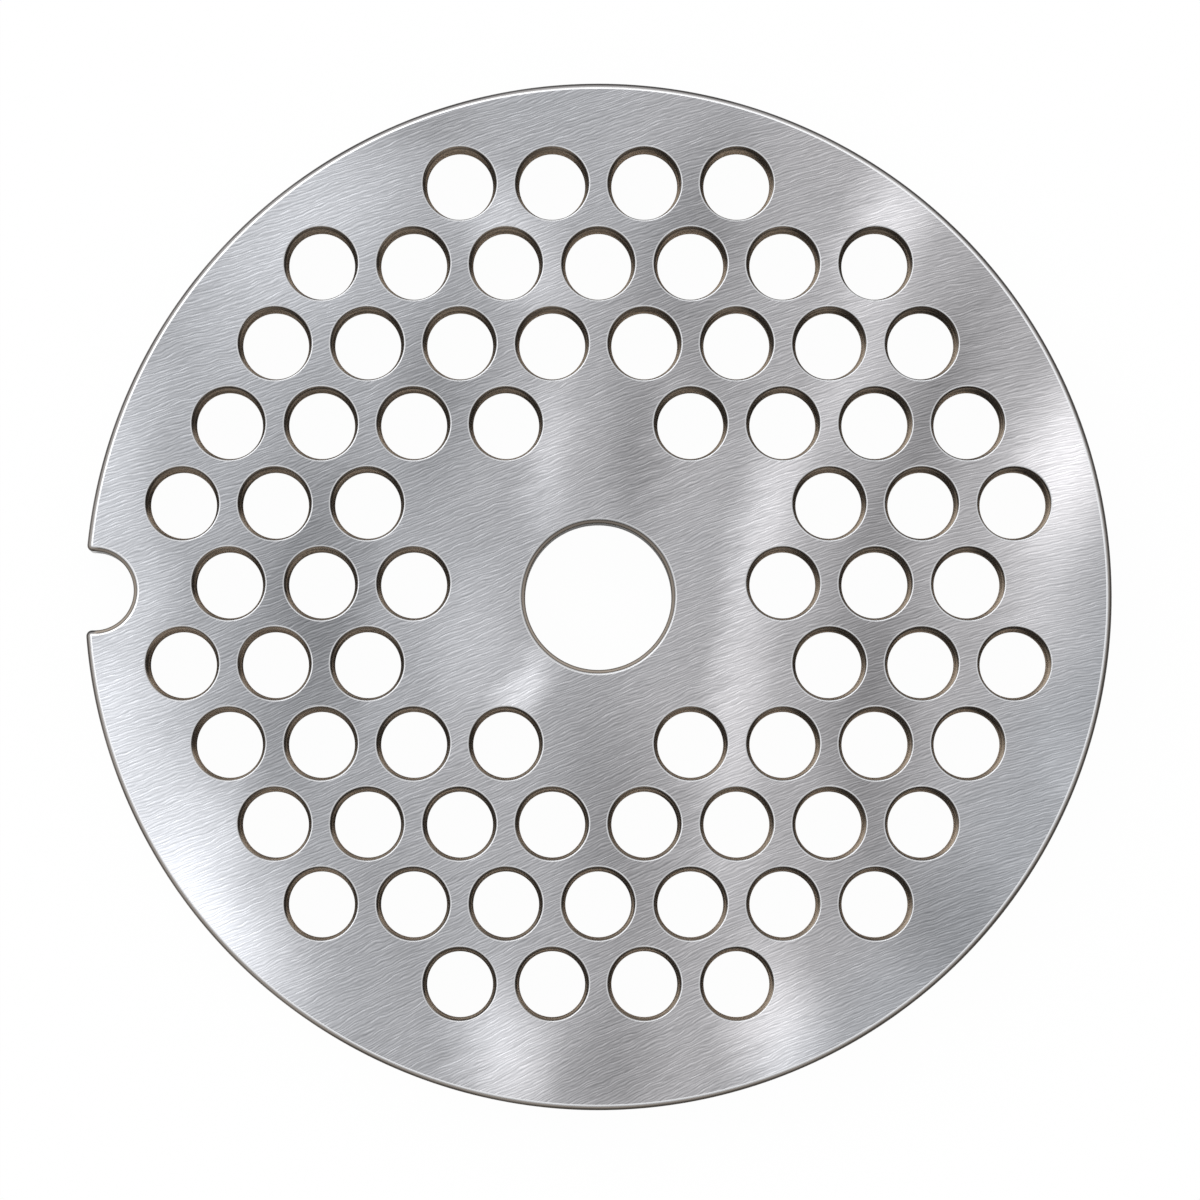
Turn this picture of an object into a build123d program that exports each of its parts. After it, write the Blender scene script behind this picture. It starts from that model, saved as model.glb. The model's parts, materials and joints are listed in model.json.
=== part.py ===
"""Meat grinder plate of the 70 mm size: one flat steel disc, pierced by a field of grinding holes.

The knife sweeps across the cutting face, which is the lower one. Each hole starts there with a sharp
rim and opens steadily towards the outlet face, so that the meat lets go of its wall.

The origin is on the bore's axis at the cutting face. +Z points out of the outlet face, and the key
notch opens towards -X. All lengths are in millimetres.
"""

import math
import os

from build123d import *

# Disc
plate_diameter = 70.0
plate_thickness = 6.0
rim_chamfer = 0.3

# Centre bore, which runs on the worm's stub shaft
bore_diameter = 10.0
bore_chamfer = 0.3

# Key notch, which drops over the pin in the mincer's mouth and keeps the plate from turning. Its
# middle line stands a little off the bore's axis, towards +Y. Its sides stay straight for a little
# between the round throat and the rounded corners at the rim, and the crest is what the rim's
# chamfer leaves of such a corner's radius.
notch_width = 5.4
notch_lift = 0.4
notch_straight = 0.1
notch_corner_crest = 0.1

# Grinding holes, on a triangular lattice whose middle is also shifted towards +Y. The
# relief is what a hole's radius gains from the cutting face to the outlet face.
hole_diameter = 4.5
hole_relief = 0.25
pattern_shift = 0.9

# Solid webs between two holes at the outlet face, and the least to the rim, the bore and the notch
hole_web = 1.3
rim_web = 2.0
bore_web = 3.0
notch_web = 1.2

plate_radius = plate_diameter / 2
bore_radius = bore_diameter / 2
notch_radius = notch_width / 2
notch_corner_radius = notch_corner_crest + rim_chamfer
notch_side = notch_straight + notch_corner_radius
notch_reach = notch_radius + notch_lift
notch_centre = math.sqrt(plate_radius**2 - notch_reach**2) - notch_side
hole_radius = hole_diameter / 2
outlet_radius = hole_radius + hole_relief
hole_pitch = 2 * outlet_radius + hole_web
row_spacing = hole_pitch * math.sin(math.radians(60))


def is_clear(x, y):
    """Tell whether a hole at this point of the lattice leaves each web as wide as it has to be."""
    from_middle = math.hypot(x, y)
    from_notch = math.hypot(x + notch_centre, y + pattern_shift - notch_lift)
    farthest = plate_radius - pattern_shift - rim_web - outlet_radius
    nearest = bore_radius + bore_chamfer + pattern_shift + bore_web + outlet_radius
    beside_notch = notch_radius + rim_chamfer + notch_web + outlet_radius
    return nearest <= from_middle <= farthest and from_notch >= beside_notch


def hole_places():
    """Give the middles of the grinding holes, row by row, each row half a pitch along from the last."""
    rows = math.ceil(plate_radius / row_spacing)
    columns = math.ceil(plate_radius / hole_pitch)
    places = []
    for row in range(-rows, rows + 1):
        half_step = row % 2 / 2
        for column in range(-columns, columns + 1):
            x = (column + half_step) * hole_pitch
            y = row * row_spacing
            if is_clear(x, y):
                places.append((x, y + pattern_shift))
    return places


# What the drill and the taper reamer take out of the plate at each hole. The wall's line is drawn as
# a two-point Bezier, which turns into one plain revolved face.
with BuildPart() as hole_tool:
    with BuildSketch(Plane.XZ) as hole_section:
        with BuildLine() as hole_outline:
            Polyline(
                (hole_radius, 0),
                (0, 0),
                (0, plate_thickness),
                (outlet_radius, plate_thickness),
            )
            Bezier((hole_radius, 0), (outlet_radius, plate_thickness))
        make_face()
    revolve(axis=Axis.Z)

with BuildPart() as grinder_plate:
    # Disc with the key notch in its rim
    with BuildSketch() as disc_outline:
        Circle(plate_radius)
        with Locations((-notch_centre, notch_lift)):
            Circle(notch_radius, mode=Mode.SUBTRACT)
            Rectangle(
                notch_side + notch_radius,
                notch_width,
                align=(Align.MAX, Align.CENTER),
                mode=Mode.SUBTRACT,
            )
        notch_corners = disc_outline.vertices().sort_by(Axis.X)[:2]
        fillet(notch_corners, notch_corner_radius)
    extrude(amount=plate_thickness)

    # Broken edges of the rim and the notch, on both faces
    flat_faces = grinder_plate.faces().filter_by(Plane.XY)
    chamfer(flat_faces.edges(), rim_chamfer)

    # Centre bore with its own broken edges
    Hole(bore_radius)
    bore_wall = grinder_plate.faces(Select.LAST).filter_by(GeomType.CYLINDER)
    chamfer(bore_wall.edges().filter_by(GeomType.CIRCLE), bore_chamfer)

    # Field of grinding holes
    with Locations(*hole_places()):
        add(hole_tool.part, mode=Mode.SUBTRACT)

grinder_plate.part.label = "grinder_plate"

os.makedirs("parts", exist_ok=True)
export_step(grinder_plate.part, "parts/grinder_plate.step")
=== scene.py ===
"""Meat grinder plate of ground steel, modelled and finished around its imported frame.

The plate is one disc. It has a key notch in its rim, a bore on its axis and a field of grinding
holes that open towards the outlet face. The frame gives the sizes of the disc, the bore and the
notch, and the properties below give the rest. Lengths are in metres, and the finishes count in
millimetres.
"""

import json
import math

import bmesh
import bpy
from bpy.props import FloatProperty, FloatVectorProperty, IntProperty, PointerProperty
from mathutils import Matrix, Vector


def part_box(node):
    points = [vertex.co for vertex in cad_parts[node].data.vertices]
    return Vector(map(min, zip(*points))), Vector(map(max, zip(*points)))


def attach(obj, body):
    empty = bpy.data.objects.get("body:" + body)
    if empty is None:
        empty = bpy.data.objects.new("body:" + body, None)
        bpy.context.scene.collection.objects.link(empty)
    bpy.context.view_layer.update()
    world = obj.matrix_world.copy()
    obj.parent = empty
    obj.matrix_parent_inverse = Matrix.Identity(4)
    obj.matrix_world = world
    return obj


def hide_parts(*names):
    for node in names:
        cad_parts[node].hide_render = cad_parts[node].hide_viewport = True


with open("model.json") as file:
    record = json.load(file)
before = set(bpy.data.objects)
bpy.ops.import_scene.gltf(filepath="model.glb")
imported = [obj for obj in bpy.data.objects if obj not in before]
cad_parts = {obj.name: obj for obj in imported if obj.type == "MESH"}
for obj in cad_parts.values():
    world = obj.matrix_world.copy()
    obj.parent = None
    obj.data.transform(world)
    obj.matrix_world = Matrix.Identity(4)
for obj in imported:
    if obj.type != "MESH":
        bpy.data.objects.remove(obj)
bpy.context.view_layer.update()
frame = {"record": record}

bl_info = {
    "name": "Meat grinder plate",
    "version": (1, 0, 0),
    "blender": (4, 5, 0),
    "location": "3D View > Sidebar > Grinder",
    "description": "Models a ground steel grinder plate and lights it on a white table",
    "category": "Add Mesh",
}

MM = 0.001
PLATE_NODE = "grinder_plate"

# Points nearer to each other than this are merged, and points within reach stand in one place
MERGED = 0.0005 * MM
WITHIN_REACH = 0.01 * MM

# Which finish a face of the plate has, in the order of the plate's material slots. The second
# finish, on the holes' eased edges, has a colour raised into a painted highlight
GROUND, EDGE_HIGHLIGHT, TURNED, REAMED = range(4)

# Least upright share of a face's normal: on a level face, and on a hole's eased edge
LEVEL = 0.999
EASED = 0.4

# Edges that turn by more than this stay sharp
SHARP_TURN = math.radians(38)

# Mix node's own numbers for the sockets that it uses for colours
MIX_SHARE, MIX_FIRST, MIX_SECOND, MIX_RESULT = 0, 6, 7, 2

# Power that turns a tone as it looks on a screen into the amount of light
SCREEN_GAMMA = 2.2

# Where the key lamp hangs over the plate, in metres, and how wide the camera's sensor is
KEY_PLACE = (-0.62, 0.62, 0.95)
SENSOR_WIDTH = 36


# ---------------------------------------------------------------- sizes that the frame holds

mounts = {mount["name"]: mount for mount in frame["record"]["mounts"]}


def mount_length(name, dimension):
    """Gives one measured length of a mount."""
    return mounts[name]["dims"][dimension] * MM


lowest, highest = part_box(PLATE_NODE)
plate_radius = min(highest.x, highest.y, -lowest.y)
thickness = highest.z
rim_chamfer = (thickness - mount_length("outer_rim", "length_mm")) / 2
bore_radius = mount_length("centre_bore", "r_mm")
bore_chamfer = (thickness - mount_length("centre_bore", "length_mm")) / 2
notch_radius = mount_length("key_notch", "r_mm")
notch_lift = mounts["key_notch"]["pos_m"][1]


# ---------------------------------------------------------------- properties

def length(name, description, millimetres):
    """Declares a length that a user can change."""
    words = {"name": name, "description": description}
    return FloatProperty(**words, default=millimetres * MM, unit="LENGTH", precision=5)


def number(name, description, value):
    """Declares a plain number that a user can change."""
    return FloatProperty(name=name, description=description, default=value, precision=3)


def count(name, description, value, least):
    """Declares a number of facets that a user can change."""
    return IntProperty(name=name, description=description, default=value, min=least)


def colour(name, description, value):
    """Declares a colour that a user can change."""
    words = {"name": name, "description": description}
    return FloatVectorProperty(**words, default=value, subtype="COLOR", min=0, max=1)


class PlateSizes(bpy.types.PropertyGroup):
    """What a user can set on the plate, beside the sizes that its frame gives."""

    hole_radius: length("Hole radius", "Radius of a grinding hole at the cutting face", 2.25)
    hole_relief: length("Hole relief", "What a hole's radius gains towards the outlet face", 0.25)
    hole_ease: length("Hole edge", "How far a hole's edge is eased at the outlet face", 0.11)
    hole_web: length("Web between holes", "Steel left between two holes at the outlet face", 1.3)
    rim_web: length("Web to the rim", "Least steel left between a hole and the rim", 2.0)
    bore_web: length("Web to the bore", "Least steel left between a hole and the bore", 3.0)
    notch_web: length("Web to the notch", "Least steel left between a hole and the notch", 1.2)
    pattern_shift: length("Pattern shift", "How far the holes stand off the axis, to +Y", 0.9)
    notch_straight: length("Notch straight", "Straight stretch of the notch's sides", 0.1)
    notch_corner: length("Notch corner", "Radius of the notch's corners at the rim", 0.4)
    edge_ease: length("Face edge", "How far the edges of the chamfers are eased", 0.07)
    rim_facets: count("Rim facets", "Facets round the rim", 360, least=24)
    bore_facets: count("Bore facets", "Facets round the bore", 180, least=24)
    hole_facets: count("Hole facets", "Facets round a grinding hole", 84, least=12)
    notch_facets: count("Notch facets", "Facets round the notch's throat", 72, least=12)
    corner_facets: count("Corner facets", "Facets round a corner of the notch", 8, least=1)
    ease_facets: count("Ease facets", "Facets across an eased edge", 3, least=1)


class PlateFinish(bpy.types.PropertyGroup):
    """Tones of the plate's surfaces. The face tone counts from 0 to 1, as it looks on a screen."""

    face_tone: number("Face tone", "Mean lightness of the ground faces", 0.65)
    line_contrast: number("Line contrast", "Strength of the grinding lines", 0.145)
    # The sheen is light and shade painted into the faces' colour
    sheen_contrast: number("Sheen contrast", "Strength of the soft sheen", 1.0)
    line_depth: length("Line depth", "Depth of the grinding lines", 0.006)
    neutral_steel: colour("Neutral steel", "Tint of the faces' neutral parts", (0.988, 0.972, 1.0))
    cool_steel: colour("Cool steel", "Tint of the faces' cool parts", (0.908, 0.94, 1.0))
    # Colour of the eased edges and of the chamfers' crests, raised into a painted highlight
    edge_highlight_colour: colour("Edge highlight", "Colour of the eased edges", (0.6, 0.605, 0.62))
    turned_light: colour("Turned, light", "Lighter colour of the chamfers", (0.3, 0.26, 0.222))
    turned_dark: colour("Turned, dark", "Darker colour of the chamfers", (0.072, 0.06, 0.048))
    rim_light: colour("Rim, light", "Lighter colour of the rim's chamfer", (0.3, 0.29, 0.288))
    rim_dark: colour("Rim, dark", "Darker colour of the rim's chamfer", (0.045, 0.042, 0.041))
    side_steel: colour("Upright walls", "Colour of the rim's and notch's wall", (0.42, 0.415, 0.41))
    reamed_light: colour("Reamed, light", "Lighter colour of the holes' walls", (0.72, 0.6, 0.48))
    reamed_dark: colour("Reamed, dark", "Darker colour of the holes' walls", (0.05, 0.04, 0.031))


class StageSettings(bpy.types.PropertyGroup):
    """Camera, lamps and floor."""

    camera_distance: length("Camera distance", "From the camera to the plate", 1300)
    camera_back: length("Camera back", "How far the camera stands off the axis, towards -Y", 32)
    picture_fill: number("Picture fill", "Plate's share of the picture's width", 0.856)
    aim_x: length("Aim across", "Where the camera aims, across the picture", 0.12)
    aim_y: length("Aim up", "Where the camera aims, up the picture", -0.24)
    floor_size: length("Floor size", "Side of the floor", 8000)
    floor_glow: number("Floor white", "Share of the floor that is plain white", 0.975)
    key_size: length("Key size", "Side of the key lamp", 1100)
    key_power: FloatProperty(
        name="Key power", description="Power of the key lamp", default=6.5, unit="POWER"
    )
    sky_top: colour("Sky overhead", "Light from overhead", (1.0, 1.0, 1.0))
    sky_low: colour("Sky low", "Light from near the horizon", (0.52, 0.515, 0.51))


# ---------------------------------------------------------------- modelling helpers

def start_piece(name):
    """Writes the new primitive's place into its mesh, names it and gives it."""
    bpy.ops.object.transform_apply()
    piece = bpy.context.active_object
    piece.name = name
    piece.data.name = name
    return piece


def deselect_all():
    """Leaves nothing selected, so that the next operator acts on what it should."""
    if bpy.context.mode != "OBJECT":
        bpy.ops.object.mode_set(mode="OBJECT")
    bpy.ops.object.select_all(action="DESELECT")


def pick(piece):
    """Makes a piece the only one selected."""
    deselect_all()
    piece.select_set(True)
    bpy.context.view_layer.objects.active = piece


def edit(piece):
    """Opens a piece in edit mode with nothing selected, and gives its mesh."""
    pick(piece)
    bpy.ops.object.mode_set(mode="EDIT")
    bpy.ops.mesh.select_all(action="DESELECT")
    return bmesh.from_edit_mesh(piece.data)


def select_mode(kind):
    """Sets whether vertices, edges or faces are selected."""
    bpy.ops.mesh.select_mode(type=kind)


def close_up(piece):
    """Merges a piece's doubles and points its faces outwards."""
    edit(piece)
    bpy.ops.mesh.select_all(action="SELECT")
    bpy.ops.mesh.remove_doubles(threshold=MERGED)
    bpy.ops.mesh.normals_make_consistent(inside=False)
    deselect_all()


def extrude(step):
    """Extrudes what is selected and moves it on by one step."""
    bpy.ops.mesh.extrude_region_move(TRANSFORM_OT_translate={"value": step})


def cut_away(piece, cutter):
    """Takes a cutter's shape out of a piece and throws the cutter away."""
    pick(piece)
    cut = piece.modifiers.new("Cut", "BOOLEAN")
    cut.operation = "DIFFERENCE"
    cut.solver = "MANIFOLD"
    cut.object = cutter
    bpy.ops.object.modifier_apply(modifier=cut.name)
    bpy.data.objects.remove(cutter)


def eased_corner(before, corner, after, ease, facets):
    """Gives the points that round one corner of a turned profile."""
    enter = corner + (before - corner).normalized() * ease
    leave = corner + (after - corner).normalized() * ease
    parts = [step / facets for step in range(facets + 1)]
    return [enter.lerp(corner, part).lerp(corner.lerp(leave, part), part) for part in parts]


def outlet_rings(inside, edge_radius, ease, facets):
    """Gives a cutter's rings from inside its hole, over the eased edge, to above the face."""
    clear = 2 * ease
    edge = Vector((edge_radius, thickness))
    beside = edge + Vector((clear, 0))
    above = beside + Vector((0, clear))
    return [inside, *eased_corner(inside, edge, beside, ease, facets), above]


def add_turned_body(name, rings, facets):
    """Turns a closed body: a disc at the first ring, extruded and scaled to the others in turn."""
    radius, height = rings[0]
    bpy.ops.mesh.primitive_circle_add(
        vertices=facets, radius=radius, fill_type="NGON", location=(0, 0, height)
    )
    body = start_piece(name)
    bpy.ops.object.mode_set(mode="EDIT")
    for next_radius, next_height in rings[1:]:
        extrude((0, 0, next_height - height))
        growth = next_radius / radius
        bpy.ops.transform.resize(value=(growth, growth, 1), center_override=(0, 0, next_height))
        radius, height = next_radius, next_height
    close_up(body)
    return body


# ---------------------------------------------------------------- the disc and its notch

def add_disc(sizes):
    """Adds the round blank, without its chamfers."""
    bpy.ops.mesh.primitive_cylinder_add(
        vertices=sizes.rim_facets,
        radius=plate_radius,
        depth=thickness - 2 * (rim_chamfer + sizes.edge_ease),
        end_fill_type="NGON",
        location=(0, 0, thickness / 2),
    )
    return start_piece("ground_plate")


def notch_centre(sizes):
    """Gives the middle of the notch's round throat, from where its deeper corner meets the rim."""
    reach = notch_radius + notch_lift
    mouth = math.sqrt(plate_radius**2 - reach**2)
    return Vector((sizes.notch_straight + sizes.notch_corner - mouth, notch_lift, 0))


def select_beyond(mesh, limit):
    """Selects the vertices that stand further towards -X than a limit."""
    for vertex in mesh.verts:
        vertex.select = vertex.co.x < limit
    mesh.select_flush_mode()


def add_notch_cutter(sizes):
    """Adds the notch's shape: half a circle, drawn out through the rim and up through the disc."""
    centre = notch_centre(sizes)
    run_out = plate_radius
    full_height = thickness * 3
    bpy.ops.mesh.primitive_circle_add(
        vertices=sizes.notch_facets * 2,
        radius=notch_radius,
        location=centre - Vector((0, 0, thickness)),
    )
    cutter = start_piece("notch_cutter")
    mesh = edit(cutter)
    select_mode("VERT")
    select_beyond(mesh, centre.x - WITHIN_REACH)
    bpy.ops.mesh.delete(type="VERT")
    select_beyond(mesh, centre.x + WITHIN_REACH)
    extrude((-run_out, 0, 0))
    bpy.ops.mesh.select_all(action="SELECT")
    bpy.ops.mesh.edge_face_add()
    extrude((0, 0, full_height))
    close_up(cutter)
    return cutter


def select_upright_edges(plate, nearest, farthest):
    """Selects the upright edges that stand between two distances from a corner of the notch."""
    corners = []
    for side in (-1, 1):
        y = notch_lift + side * notch_radius
        corners.append(Vector((-math.sqrt(plate_radius**2 - y**2), y)))
    mesh = edit(plate)
    select_mode("EDGE")
    for edge in mesh.edges:
        first, last = [vertex.co for vertex in edge.verts]
        gap = min((first.xy - corner).length for corner in corners)
        edge.select = first.xy == last.xy and nearest <= gap <= farthest
    mesh.select_flush_mode()


def round_notch_corners(plate, sizes):
    """Clears room beside the two upright edges where the notch meets the rim, and rounds them."""
    turn = math.radians(90) - math.asin(notch_radius / plate_radius)
    reach = sizes.notch_corner / math.tan(turn / 2)
    select_upright_edges(plate, WITHIN_REACH, reach + WITHIN_REACH)
    bpy.ops.mesh.dissolve_edges(use_verts=True)
    select_upright_edges(plate, 0, WITHIN_REACH)
    facets = sizes.corner_facets
    bpy.ops.mesh.bevel(offset=reach, segments=facets, affect="EDGES", clamp_overlap=False)
    deselect_all()


def break_edges(plate, sizes):
    """Raises both flat faces inwards step by step, over the chamfer and its eased edges."""
    wall = Vector((0, -thickness / 2))
    outer = Vector((0, -rim_chamfer))
    inner = Vector((rim_chamfer, 0))
    middle = Vector((plate_radius, 0))
    steps = (sizes.edge_ease, sizes.ease_facets)
    outline = eased_corner(wall, outer, inner, *steps) + eased_corner(outer, inner, middle, *steps)
    mesh = edit(plate)
    select_mode("FACE")
    for face in mesh.faces:
        face.select = abs(face.normal.z) > LEVEL
    mesh.select_flush_mode()
    for last, point in zip(outline, outline[1:]):
        inwards, upwards = point - last
        bpy.ops.mesh.inset(thickness=inwards, depth=upwards, use_even_offset=True)
    close_up(plate)


# ---------------------------------------------------------------- the bore and the grinding holes

def add_bore_cutter(sizes):
    """Adds what the bore takes out of the plate, chamfered and eased alike at both faces."""
    inside = Vector((bore_radius, thickness - bore_chamfer))
    upper = outlet_rings(inside, bore_radius + bore_chamfer, sizes.edge_ease, sizes.ease_facets)
    lower = [Vector((radius, thickness - height)) for radius, height in reversed(upper)]
    return add_turned_body("bore_cutter", [*lower, *upper], sizes.bore_facets)


def outlet_radius(sizes):
    """Gives the radius of a grinding hole at the outlet face."""
    return sizes.hole_radius + sizes.hole_relief


def add_hole_cutter(sizes):
    """Adds what one grinding hole takes out, sharp at the cutting face and eased at the other."""
    below = 2 * sizes.hole_ease
    start = Vector((sizes.hole_radius - below * sizes.hole_relief / thickness, -below))
    rings = outlet_rings(start, outlet_radius(sizes), sizes.hole_ease, sizes.ease_facets)
    return add_turned_body("hole_cutter", rings, sizes.hole_facets)


def is_clear(middle, sizes):
    """Tells whether a hole at this point of the lattice leaves each web as wide as it has to be."""
    shift = sizes.pattern_shift
    radius = outlet_radius(sizes)
    off_notch = (middle + Vector((0, shift, 0)) - notch_centre(sizes)).length
    farthest = plate_radius - shift - sizes.rim_web - radius
    nearest = bore_radius + bore_chamfer + shift + sizes.bore_web + radius
    beside_notch = notch_radius + rim_chamfer + sizes.notch_web + radius
    return nearest <= middle.length <= farthest and off_notch >= beside_notch


def hole_places(sizes):
    """Gives the middles of the grinding holes, row by row, on a triangular lattice."""
    pitch = 2 * outlet_radius(sizes) + sizes.hole_web
    spacing = pitch * math.sin(math.radians(60))
    rows = math.ceil(plate_radius / spacing)
    columns = math.ceil(plate_radius / pitch)
    places = []
    for row in range(-rows, rows + 1):
        half_step = row % 2 / 2
        for column in range(-columns, columns + 1):
            middle = Vector(((column + half_step) * pitch, row * spacing, 0))
            if is_clear(middle, sizes):
                places.append(middle + Vector((0, sizes.pattern_shift, 0)))
    return places


def add_hole_field_cutter(sizes):
    """Copies the hole's cutter to each place of the field and joins the copies."""
    first, *others = hole_places(sizes)
    cutter = add_hole_cutter(sizes)
    pick(cutter)
    bpy.ops.transform.translate(value=first)
    copies = [cutter]
    place = first
    for next_place in others:
        bpy.ops.object.duplicate_move(TRANSFORM_OT_translate={"value": next_place - place})
        copies.append(bpy.context.active_object)
        place = next_place
    for copy in copies:
        copy.select_set(True)
    bpy.context.view_layer.objects.active = cutter
    bpy.ops.object.join()
    bpy.ops.object.transform_apply()
    return cutter


# ---------------------------------------------------------------- node trees

def math_operator(operation, swapped=False):
    """Gives an operator of Wire that adds one Math node."""
    def operate(self, other=0):
        values = (other, self) if swapped else (self, other)
        return self.nodes.add("ShaderNodeMath", {"operation": operation}, dict(enumerate(values)))
    return operate


class Wire:
    """An output of a node. An expression on it adds the Math nodes that work it out."""

    def __init__(self, nodes, socket):
        self.nodes = nodes
        self.socket = socket

    __add__ = math_operator("ADD")
    __radd__ = math_operator("ADD", swapped=True)
    __sub__ = math_operator("SUBTRACT")
    __rsub__ = math_operator("SUBTRACT", swapped=True)
    __mul__ = math_operator("MULTIPLY")
    __rmul__ = math_operator("MULTIPLY", swapped=True)
    __truediv__ = math_operator("DIVIDE")
    __rtruediv__ = math_operator("DIVIDE", swapped=True)
    __pow__ = math_operator("POWER")
    __abs__ = math_operator("ABSOLUTE")


class Nodes:
    """A node tree, and the one way in which its nodes are made."""

    def __init__(self, owner):
        owner.use_nodes = True
        self.owner = owner
        self.tree = owner.node_tree
        self.tree.nodes.clear()

    def add(self, kind, settings=None, inputs=None, output=0):
        """Adds a node, sets it up and fills its inputs with values or wires.

        Gives the output that is asked for, or all of them where output is None.
        """
        made = self.tree.nodes.new(kind)
        for name, value in (settings or {}).items():
            setattr(made, name, value)
        for name, value in (inputs or {}).items():
            if isinstance(value, Wire):
                self.tree.links.new(value.socket, made.inputs[name])
            else:
                made.inputs[name].default_value = value
        if output is None:
            return [Wire(self, socket) for socket in made.outputs]
        return Wire(self, made.outputs[output]) if made.outputs else None

    def place(self):
        """Gives the point of the surface in millimetres."""
        return self.scale(self.add("ShaderNodeTexCoord", output="Object"), 1 / MM)

    def facing(self):
        """Gives which way the surface faces, as a vector in the plate's own frame."""
        return self.add("ShaderNodeTexCoord", output="Normal")

    def math(self, operation, *values):
        """Works one Math node that has no sign of its own in Python."""
        return self.add("ShaderNodeMath", {"operation": operation}, dict(enumerate(values)))

    def scale(self, vector, amount):
        """Multiplies a vector or a colour by a number."""
        inputs = {0: vector, "Scale": amount}
        return self.add("ShaderNodeVectorMath", {"operation": "SCALE"}, inputs)

    def split(self, vector):
        """Gives the three numbers of a vector."""
        return self.add("ShaderNodeSeparateXYZ", None, {0: vector}, None)

    def join(self, x, y, z):
        """Joins three numbers into a vector."""
        return self.add("ShaderNodeCombineXYZ", None, {0: x, 1: y, 2: z})

    def noise(self, vector, detail=2, roughness=0.5):
        """Gives soft noise with waves about one unit wide, running from -0.5 to 0.5."""
        inputs = {"Vector": vector, "Scale": 1, "Detail": detail, "Roughness": roughness}
        return self.add("ShaderNodeTexNoise", {"noise_dimensions": "3D"}, inputs) - 0.5

    def fade(self, value, start, end):
        """Gives 0 before start and 1 after end, with a soft rise between them."""
        inputs = {"Value": value, "From Min": start, "From Max": end}
        return self.add("ShaderNodeMapRange", {"interpolation_type": "SMOOTHSTEP"}, inputs)

    def mix(self, share, first, second):
        """Mixes two colours, each a wire or a plain colour."""
        first, second = [each if isinstance(each, Wire) else (*each, 1) for each in (first, second)]
        inputs = {MIX_SHARE: share, MIX_FIRST: first, MIX_SECOND: second}
        return self.add("ShaderNodeMix", {"data_type": "RGBA"}, inputs, MIX_RESULT)

    def surface(self, constants, varying):
        """Ends a material in a Principled shader and gives the material."""
        shader = self.add("ShaderNodeBsdfPrincipled", None, {**constants, **varying})
        self.add("ShaderNodeOutputMaterial", None, {"Surface": shader})
        return self.owner


def finish_nodes(name):
    """Starts a material."""
    return Nodes(bpy.data.materials.new(name))


# ---------------------------------------------------------------- finishes

# Painted sheen on the outlet face: light and dark patches of reflection painted into its colour.
# For
# each patch: where its middle is, its half length and half width, all in millimetres, how far it
# leans to the right in degrees, and how much it lifts the tone there
PAINTED_SHEEN_PATCHES = {
    "top, left of the middle": ((-5.5, 24), (10, 4), -30, 0.1),
    "above the bore": ((-3.2, 10), (9, 3), 3, 0.09),
    "below the bore": ((-5.2, -6.6), (6, 2.4), 28, 0.14),
    "left of the bore": ((-8.5, -3.5), (9, 5), 0, 0.06),
    "bottom, left of the middle": ((-6.6, -31), (9, 4.6), -8, 0.15),
    "top right": ((19.6, 25), (9, 4.4), 25, 0.15),
    "right of the top rows": ((17.2, 15), (10, 3.4), 28, 0.08),
    "right of the bore": ((11.6, 5.5), (10.5, 3.4), 16, 0.13),
    "right of the bore, low": ((9.8, -5.5), (10.5, 3.2), 1, 0.1),
    "below right of the bore": ((8.8, -14), (11, 3.6), -3, 0.07),
    "bottom, right of the middle": ((12, -29.5), (9.5, 5), -8, 0.16),
    "right edge": ((32, 9.2), (10, 6), 16, 0.22),
    "right edge, low": ((30, 0), (9, 6), 0, 0.08),
    "left edge, low": ((-33, -7), (11, 7), -25, 0.17),
    "lower left edge": ((-28.5, -21.5), (17, 9.5), -36, 0.27),
    "left edge, middle": ((-34, 5), (9, 7), 4, 0.1),
    "beside the notch": ((-30.5, -0.5), (5, 4), 0, 0.07),
    "left, low": ((-26, -14), (6, 4.5), -30, 0.07),
    "left rim, upper": ((-32.5, 11.5), (7, 4), 25, 0.07),
    "right rim, lower": ((33, -13), (8, 4), -25, 0.035),
    "upper left": ((-20.5, 25), (13, 9), 42, 0.1),
    "left of the upper rows": ((-27, 15), (11, 7), 35, 0.02),
    "dark, left rows": ((-19.8, -1), (19, 6.5), 4, -0.1),
    "dark, upper left rows": ((-11, 14), (11, 5), 12, -0.07),
    "dark, upper middle": ((6.5, 24), (14, 6.5), 20, -0.08),
    "dark, beside the bore": ((2.5, 10), (9, 3.2), 0, -0.07),
    "dark, above the bore": ((8, 15.5), (7, 4.5), 20, -0.04),
    "dark, top left": ((-13, 33), (4, 7), 15, -0.05),
    "dark, right rows": ((18.4, -7), (21, 5.5), 4, -0.1),
    "dark, lower right": ((23.5, -22), (10, 6), -40, -0.06),
    "dark, upper right": ((23, 13), (15, 4), 22, -0.09),
    "dark, lower middle": ((1, -16), (16, 6.5), -8, -0.07),
    "dark, bottom": ((1, -31.5), (8, 5), 0, -0.06),
    "dark, lower left": ((-14, -20), (13, 4.5), -15, -0.03),
}

# What the lift of every patch is multiplied by
SHEEN_GAIN = 1.35

# How far apart in the noise two layers of a pattern lie, so that neither follows the other
LAYER_STEP, STRENGTH_STEP = 5, 9


def grinding_course(nodes, x, y):
    """Tells how far along the grinding lines and how far across them a place is.

    The lines rise to the right, a little less so towards the right and the top of the plate, and
    most steeply halfway between its left and its right.
    """
    rim = plate_radius / MM
    rise, less_rightwards, less_upwards = [math.radians(angle) for angle in (19, 1, 3)]
    turn = rise - x * (less_rightwards / rim) - y * (less_upwards / rim)
    cosine, sine = nodes.math("COSINE", turn), nodes.math("SINE", turn)
    slope, flattening = 0.07, 0.67
    bend = x * (1 - x * x * (flattening / rim**2)) * slope
    return x * cosine + y * sine, y * cosine - x * sine - bend


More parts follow.
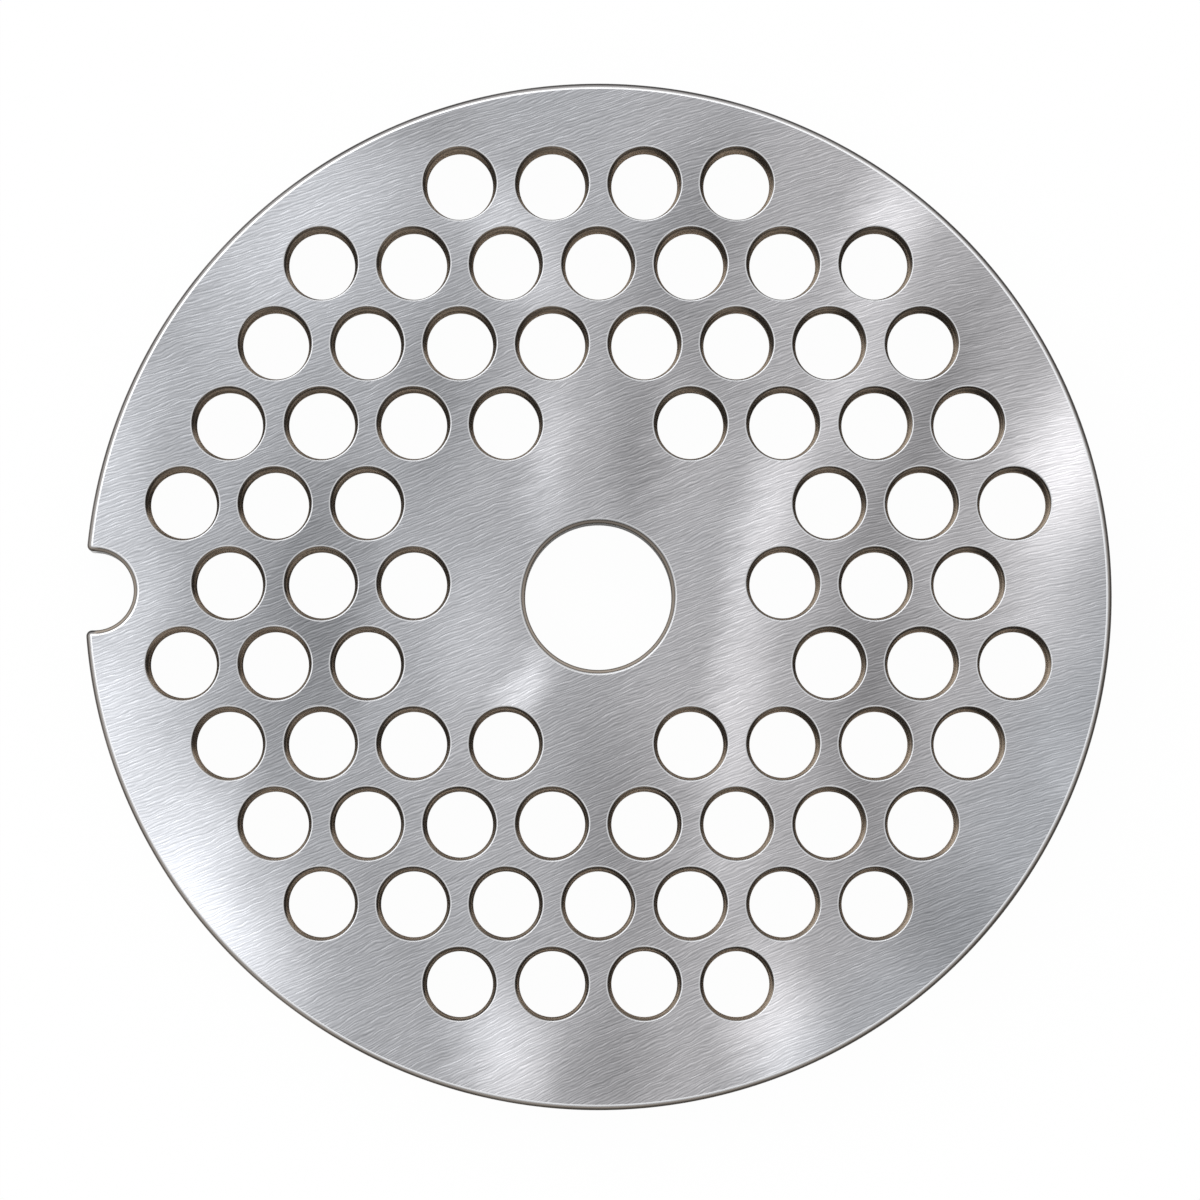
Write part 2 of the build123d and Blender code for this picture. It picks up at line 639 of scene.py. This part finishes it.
def waver(nodes, along, across, z, reach, width, height, detail):
    """Shifts the lines sideways in soft waves of this reach, width and height."""
    waves = nodes.noise(nodes.join(along / reach, across / width, z), detail=detail)
    return across + waves * height


def ripples(nodes, along, across, layer, spacing, reach):
    """Gives even lines that fork, fade and start anew within their reach, from -0.5 to 0.5."""
    stray = 7
    wander = nodes.noise(nodes.join(along / reach, across / (spacing * 2), layer), detail=1) * stray
    stretches = nodes.noise(nodes.join(along / reach, across / spacing, layer + STRENGTH_STEP))
    strength = nodes.fade(stretches, -0.3, 0.2)
    return nodes.math("SINE", across * (math.tau / spacing) + wander) * strength * 0.5


def grinding_lines(nodes, place):
    """Gives the fine hairs, the lines and the smears that run the way the faces were ground."""
    x, y, z = nodes.split(place)
    along, across = grinding_course(nodes, x, y)
    across = waver(nodes, along, across, z, reach=5, width=2.5, height=0.8, detail=2)
    across = waver(nodes, along, across, z, reach=1.1, width=0.8, height=0.15, detail=1)
    hair = ripples(nodes, along, across, z, spacing=0.17, reach=0.9)
    line = ripples(nodes, along, across, z + LAYER_STEP, spacing=0.29, reach=1.3)
    smear_reach, smear_width = 4, 0.5
    smear_place = nodes.join(along / smear_reach, across / smear_width, z)
    smears = nodes.noise(smear_place, detail=2, roughness=0.6)
    return hair, line, smears


def sheen(nodes, place, smears):
    """Adds up the patches of painted sheen, with ragged edges that are drawn out along the grinding
    lines.
    """
    x, y, _ = nodes.split(place)
    rag_span, rag_across, rag_up, drawn_out = 5, 3, 2, 2.5
    ragged = nodes.noise(nodes.scale(place, 1 / rag_span), detail=2)
    warped = nodes.join(x + smears * drawn_out + ragged * rag_across, y + ragged * rag_up, 0)
    total = 0
    for middle, (half_length, half_width), lean, lift in PAINTED_SHEEN_PATCHES.values():
        inputs = {
            "Vector": warped,
            "Location": (*middle, 0),
            "Rotation": (0, 0, -math.radians(lean)),
            "Scale": (half_width, half_length, 1),
        }
        local = nodes.add("ShaderNodeMapping", {"vector_type": "TEXTURE"}, inputs)
        settings = {"gradient_type": "SPHERICAL"}
        inside = nodes.add("ShaderNodeTexGradient", settings, {0: local}, "Fac")
        total = nodes.fade(inside, 0, 1) * (lift * SHEEN_GAIN) + total
    return total


def cool_share(nodes, place):
    """Gives where the faces look cool: on the left, and at the lower right of the rim."""
    x, y, _ = nodes.split(place)
    drift_span, drift_reach, lean = 12.5, 26, 0.2
    drift = nodes.noise(nodes.scale(place, 1 / drift_span), detail=1) * drift_reach
    left = nodes.fade(x - y * lean + drift, 22, -26)
    rightward, downward = 0.85, 0.53
    lower_right = nodes.fade(x * rightward - y * downward + drift * 0.3, 23, 34)
    return left * 0.8 + lower_right * 0.9


def ground_steel(look):
    """Face that was ground one way: fine wavy lines, soft smoky sheen painted in as light and
    shade, and a cool cast.
    """
    nodes = finish_nodes("ground_steel")
    place = nodes.place()
    hair, line, smears = grinding_lines(nodes, place)
    line_share, smear_contrast, hair_tint = 0.6, 0.07, 0.35
    # Painted sheen: light and dark patches of reflection in the face's colour
    tone = sheen(nodes, place, smears) * look.sheen_contrast + look.face_tone
    tone = tone + (hair + line * line_share) * look.line_contrast + smears * smear_contrast
    cool = cool_share(nodes, place) - hair * hair_tint
    tint = nodes.mix(cool, look.neutral_steel, look.cool_steel)
    relief = {"Strength": 1.0, "Distance": look.line_depth, "Height": hair + line}
    varying = {
        "Base Color": nodes.scale(tint, tone**SCREEN_GAMMA),
        "Roughness": 0.34 + hair * 0.08,
        "Normal": nodes.add("ShaderNodeBump", None, relief),
    }
    return nodes.surface({"Metallic": 1.0}, varying)


def edge_highlight_steel(look):
    """Eased edge of a grinding hole: bare steel with a painted highlight, the lightest line on the
    plate.
    """
    nodes = finish_nodes("edge_with_painted_highlight")
    fineness, tone_change, gloss_change = 0.6, 0.6, 0.2
    wear = nodes.noise(nodes.scale(nodes.place(), fineness), detail=3)
    # Painted highlight: the edge's colour stands well above the face's, and the wear noise varies
    # it
    varying = {
        "Base Color": nodes.scale(tuple(look.edge_highlight_colour), 1 + wear * tone_change),
        "Roughness": 0.42 + wear * gloss_change,
    }
    return nodes.surface({"Metallic": 1.0}, varying)


# Distances from the axis, in millimetres, over which turned steel changes from the bore's look to
# that of the outer edges, and from the notch's look to the rim's
BORE_TO_EDGE = (8, 28)
NOTCH_TO_RIM = (34.2, 34.6)

# Depths below the nearer face, in heights of a chamfer, over which the bright crest, a painted
# highlight, fades out, the lighter middle of a chamfer fades in and out, and the upright wall fades
# in
CREST_OUT = (0.26, 0.12)
MIDDLE_IN = (0.2, 0.5)
MIDDLE_OUT = (0.6, 1.05)
WALL_IN = (1.1, 1.5)


def turning_marks(nodes, place, around, upwards, detail):
    """Gives marks of a turning tool, by how many there are to a millimetre around and upwards."""
    x, y, z = place
    return nodes.noise(nodes.join(x * around, y * around, z * upwards), detail=detail)


def chamfer_colour(nodes, look, where, marks):
    """Gives the colour of a chamfer, with a bright crest where it leaves the face: a painted
    highlight.

    Below the crest, the bore's and the notch's chamfers are brown and lightest along their middle,
    and the rim's is grey and darkens downwards. Painted light and shade by which way a chamfer
    faces make it lighter where it faces up, the bore's and the notch's lighter where they face
    right, the rim's lighter where it faces left and greyer, with darker darks, where it faces up,
    and the crest lighter where it faces up and on the outer edges. Where says how far down a place
    is, and whether it is on an outer edge, on the rim and on the crest. Marks are the tool's
    grooves and bands.
    """
    down, outside, on_rim, crest = where
    grooves, bands = marks
    rightward, upward, _ = nodes.split(nodes.facing())
    rim_rise, groove_share, band_share = 0.3, 0.25, 0.8
    fading_out = nodes.fade(down + on_rim * rim_rise, *MIDDLE_OUT)
    middle = nodes.fade(down + on_rim, *MIDDLE_IN) - fading_out
    # Painted light: the rim's chamfer is lighter where it faces left
    rim_lift = (0.08 - rightward * 0.3) * on_rim
    lightness = middle + grooves * groove_share + bands * band_share + rim_lift
    share = nodes.fade(lightness, 0, 1)
    # Painted shade: the rim's chamfer turns greyer, with darker darks, where it faces up
    greyed = on_rim * (0.6 + upward * 0.55)
    light = nodes.mix(greyed, look.turned_light, look.rim_light)
    dark = nodes.mix(greyed, look.turned_dark, look.rim_dark)
    top_gain, right_gain, edge_gain, crest_gain = 0.45, 0.15, 0.05, 0.4
    # Painted light and shade by which way the chamfer faces: lighter where it faces up and, on the
    # bore and the notch, where it faces right
    from_top = upward * (top_gain - on_rim * 0.25)
    from_right = rightward * (right_gain - on_rim * right_gain)
    shade = 1 + from_top + from_right + outside * edge_gain
    # Painted highlight on the crest: lighter where it faces up and on the outer edges
    gleam = (1 + upward * top_gain) * (1 + outside * crest_gain)
    band = nodes.scale(nodes.mix(share, dark, light), shade)
    return nodes.mix(crest, band, nodes.scale(tuple(look.edge_highlight_colour), gleam))


def turned_steel(look):
    """Chamfers of the rim, the bore and the notch, and the upright walls of the rim and notch."""
    nodes = finish_nodes("turned_steel")
    x, y, z = nodes.split(nodes.place())
    radius = (x * x + y * y) ** 0.5
    outside, on_rim = nodes.fade(radius, *BORE_TO_EDGE), nodes.fade(radius, *NOTCH_TO_RIM)
    half = thickness / 2 / MM
    down = (half - abs(z - half)) / (rim_chamfer / MM)
    crest = nodes.fade(down, *CREST_OUT)
    notch_gleam, rim_gleam = 0.3, 0.7
    wall = nodes.fade(down, *WALL_IN) * (outside * notch_gleam + on_rim * rim_gleam)
    grooves = turning_marks(nodes, (x, y, z), around=0.3, upwards=9, detail=3)
    bands = turning_marks(nodes, (x, y, z), around=0.12, upwards=0.2, detail=1)
    lines = turning_marks(nodes, (x, y, z), around=0.05, upwards=14, detail=2)
    chamfer = chamfer_colour(nodes, look, (down, outside, on_rim, crest), (grooves, bands))
    contrast = 0.5
    steel = nodes.scale(tuple(look.side_steel), 1 + lines * contrast + bands * contrast)
    varying = {
        "Base Color": nodes.mix(wall, chamfer, steel),
        "Roughness": 0.5 + grooves * 0.2 - wall * 0.12,
        "Metallic": crest + wall,
    }
    return nodes.surface({"Specular IOR Level": 0.1}, varying)


def arc(nodes, bearing, middle, sharpness):
    """Gives 1 where a round wall stands at one bearing from its axis, less to both sides of it."""
    return (nodes.math("COSINE", bearing - middle) * 0.5 + 0.5) ** sharpness


def painted_shade_arcs(nodes, bearing, across, drift):
    """Gives the arcs of painted shade on a hole's wall, by which way it faces; they turn with the
    hole's place across the plate.
    """
    right_bearing, left_bearing = math.radians(28), math.radians(170)
    right_turn, left_turn, left_strength = 0.45, 0.3, 0.8
    right = arc(nodes, bearing, across * right_turn + drift + right_bearing, sharpness=10)
    left = arc(nodes, bearing, drift - across * left_turn + left_bearing, sharpness=14)
    return right + left * left_strength


def painted_highlight_arcs(nodes, bearing, across, drift):
    """Gives the arcs of painted highlight on a hole's wall, by which way it faces: one on the
    plate's right side, one on its left.
    """
    right_bearing, left_bearing = math.radians(32), math.radians(148)
    on_right, on_left = nodes.fade(across, -0.3, 0.7), nodes.fade(across, 0.3, -0.7)
    right = arc(nodes, bearing, drift * 0.5 - right_bearing, sharpness=24) * on_right
    left = arc(nodes, bearing, drift * 0.5 - left_bearing, sharpness=30) * on_left
    return right + left


def wall_streaks(nodes, place, look_x, look_y):
    """Gives streaks that run round each hole's wall and differ from hole to hole."""
    x, y, z = place
    around, from_hole_to_hole, strength = 0.6, 0.06, 2.4
    winding_x = look_x * around + x * from_hole_to_hole
    winding_y = look_y * around + y * from_hole_to_hole
    winding = nodes.join(winding_x, winding_y, z * around)
    return nodes.noise(winding, detail=1.5, roughness=0.6) * strength


def reamed_steel(look):
    """Walls of the grinding holes: brown steel, darkened partly as a painted dark reflection,
    streaked round, with arcs of painted shade and painted highlight.
    """
    nodes = finish_nodes("reamed_steel")
    x, y, z = nodes.split(nodes.place())
    look_x, look_y, _ = nodes.split(nodes.facing())
    bearing = nodes.math("ARCTAN2", look_y * -1, look_x * -1)
    across = x / (plate_radius / MM)
    drift_fineness, drift_reach = 0.1, 1.2
    drift_place = nodes.join(x * drift_fineness, y * drift_fineness, 0)
    drift = nodes.noise(drift_place, detail=1) * drift_reach
    dark = painted_shade_arcs(nodes, bearing, across, drift)
    light = painted_highlight_arcs(nodes, bearing, across, drift)
    near_edge = nodes.fade(z, 2.5, 6)
    dark_weight, edge_weight = 0.9, 0.7
    streaks = wall_streaks(nodes, (x, y, z), look_x, look_y)
    # Painted shade and painted highlight in arcs by which way the wall faces; the wall is also
    # darker towards the outlet face
    lightness = streaks - dark * dark_weight + light - near_edge * edge_weight
    share = nodes.fade(lightness, -1.1, 0.6)
    varying = {"Base Color": nodes.mix(share, look.reamed_dark, look.reamed_light)}
    return nodes.surface({"Roughness": 0.9, "Specular IOR Level": 0.02}, varying)


def finish_of(face, hole_middles, sizes):
    """Tells which finish a face has, from where it is and which way it faces."""
    tilt = abs(face.normal.z)
    if tilt > LEVEL:
        return GROUND
    off_hole = min((face.center.xy - middle).length for middle in hole_middles)
    if off_hole >= outlet_radius(sizes) + sizes.hole_ease:
        return TURNED
    return EDGE_HIGHLIGHT if tilt > EASED else REAMED


def assign_finishes(plate, sizes, look):
    """Gives the plate its four finishes, face by face."""
    plate.data.materials.clear()
    for make in (ground_steel, edge_highlight_steel, turned_steel, reamed_steel):
        plate.data.materials.append(make(look))
    hole_middles = [place.xy for place in hole_places(sizes)]
    for face in plate.data.polygons:
        face.material_index = finish_of(face, hole_middles, sizes)


def smooth_walls(plate):
    """Smooths round walls and eased edges, and keeps the broad faces flat by their larger area."""
    pick(plate)
    bpy.ops.object.shade_smooth_by_angle(angle=SHARP_TURN)
    flatten = plate.modifiers.new("Flatten", "WEIGHTED_NORMAL")
    flatten.keep_sharp = True
    bpy.ops.object.modifier_apply(modifier=flatten.name)


# ---------------------------------------------------------------- operators

class GRINDER_OT_plate(bpy.types.Operator):
    """Model the plate, finish it and put it in the place of its frame node"""

    bl_idname = "grinder.plate"
    bl_label = "Plate"
    bl_options = {"REGISTER", "UNDO"}

    def execute(self, context):
        sizes = context.scene.plate_sizes
        deselect_all()
        plate = add_disc(sizes)
        cut_away(plate, add_notch_cutter(sizes))
        round_notch_corners(plate, sizes)
        break_edges(plate, sizes)
        cut_away(plate, add_bore_cutter(sizes))
        cut_away(plate, add_hole_field_cutter(sizes))
        close_up(plate)
        assign_finishes(plate, sizes, context.scene.plate_finish)
        smooth_walls(plate)
        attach(plate, "root")
        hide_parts(PLATE_NODE)
        return {"FINISHED"}


class GRINDER_OT_stage(bpy.types.Operator):
    """Lay a white floor, set up the lamps and aim the camera"""

    bl_idname = "grinder.stage"
    bl_label = "Stage"
    bl_options = {"REGISTER", "UNDO"}

    def execute(self, context):
        stage = context.scene.stage_settings
        deselect_all()
        lay_floor(stage)
        light_sky(stage)
        hang_key_lamp(stage)
        aim_camera(stage)
        context.scene.view_settings.view_transform = "Standard"
        return {"FINISHED"}


def lay_floor(stage):
    """Adds the floor just under the plate, white wherever it is seen, but still taking shadows."""
    below = 0.02 * MM
    pale = (0.9, 0.9, 0.9, 1)
    white = (1, 1, 1, 1)
    bpy.ops.mesh.primitive_plane_add(size=stage.floor_size, location=(0, 0, -below))
    floor = start_piece("floor")
    nodes = finish_nodes("white_floor")
    kinds = ("Is Camera Ray", "Is Glossy Ray", "Is Transmission Ray")
    camera, glossy, transmission = [nodes.add("ShaderNodeLightPath", output=kind) for kind in kinds]
    lit = nodes.add("ShaderNodeBsdfDiffuse", None, {"Color": pale})
    glow = nodes.add("ShaderNodeEmission", None, {"Color": white, "Strength": 1.0})
    seen = (camera + glossy + transmission) * stage.floor_glow
    mixed = nodes.add("ShaderNodeMixShader", None, {0: seen, 1: lit, 2: glow})
    nodes.add("ShaderNodeOutputMaterial", None, {"Surface": mixed})
    floor.data.materials.append(nodes.owner)


def light_sky(stage):
    """Fills the world with soft light, brighter overhead than near the horizon."""
    world = bpy.data.worlds.new("soft_sky")
    nodes = Nodes(world)
    _, _, height = nodes.split(nodes.add("ShaderNodeTexCoord", output="Generated"))
    overhead = nodes.fade(height, 0.15, 0.9)
    light = nodes.mix(overhead, stage.sky_low, stage.sky_top)
    sky = nodes.add("ShaderNodeBackground", None, {"Color": light})
    nodes.add("ShaderNodeOutputWorld", None, {"Surface": sky})
    bpy.context.scene.world = world


def hang_key_lamp(stage):
    """Hangs a large soft lamp above the plate's upper left."""
    place = Vector(KEY_PLACE)
    bpy.ops.object.light_add(type="AREA", location=place)
    lamp = bpy.context.active_object
    lamp.name = "key_lamp"
    lamp.data.shape = "SQUARE"
    lamp.data.size = stage.key_size
    lamp.data.energy = stage.key_power
    lamp.rotation_euler = place.to_track_quat("Z", "Y").to_euler()


def aim_camera(stage):
    """Stands the camera over the plate, a little back from the axis, with +Y up the picture."""
    aim = Vector((stage.aim_x, stage.aim_y, thickness))
    eye = Vector((0, -stage.camera_back, stage.camera_distance))
    ahead = (aim - eye).normalized()
    right = ahead.cross(Vector((0, 1, 0))).normalized()
    up = right.cross(ahead)
    facing = Matrix((right, up, -ahead)).transposed()
    bpy.ops.object.camera_add(location=eye, rotation=facing.to_euler())
    camera = bpy.context.active_object
    camera.name = "camera"
    camera.data.sensor_width = SENSOR_WIDTH
    camera.data.lens = SENSOR_WIDTH * stage.picture_fill * (eye - aim).length / (2 * plate_radius)
    camera.data.clip_start = 0.1
    camera.data.clip_end = 100
    bpy.context.scene.camera = camera


class GRINDER_PT_panel(bpy.types.Panel):
    """Sizes, tones and the operators that build the plate and its stage"""

    bl_idname = "GRINDER_PT_panel"
    bl_label = "Meat grinder plate"
    bl_space_type = "VIEW_3D"
    bl_region_type = "UI"
    bl_category = "Grinder"

    def draw(self, context):
        scene = context.scene
        for group in (scene.plate_sizes, scene.plate_finish, scene.stage_settings):
            box = self.layout.box()
            for name in group.__annotations__:
                box.prop(group, name)
        for operator in (GRINDER_OT_plate, GRINDER_OT_stage):
            self.layout.operator(operator.bl_idname)


# ---------------------------------------------------------------- registration and run

PROPERTY_GROUPS = {
    "plate_sizes": PlateSizes,
    "plate_finish": PlateFinish,
    "stage_settings": StageSettings,
}
CLASSES = (*PROPERTY_GROUPS.values(), GRINDER_OT_plate, GRINDER_OT_stage, GRINDER_PT_panel)


def register():
    """Registers the classes and hangs the property groups on the scene."""
    for each in CLASSES:
        bpy.utils.register_class(each)
    for name, group in PROPERTY_GROUPS.items():
        setattr(bpy.types.Scene, name, PointerProperty(type=group))


def unregister():
    """Takes back what register did."""
    for name in PROPERTY_GROUPS:
        delattr(bpy.types.Scene, name)
    for each in reversed(CLASSES):
        bpy.utils.unregister_class(each)


def main():
    """Builds the plate and its stage."""
    register()
    bpy.ops.grinder.plate()
    bpy.ops.grinder.stage()


if __name__ == "__main__":
    main()
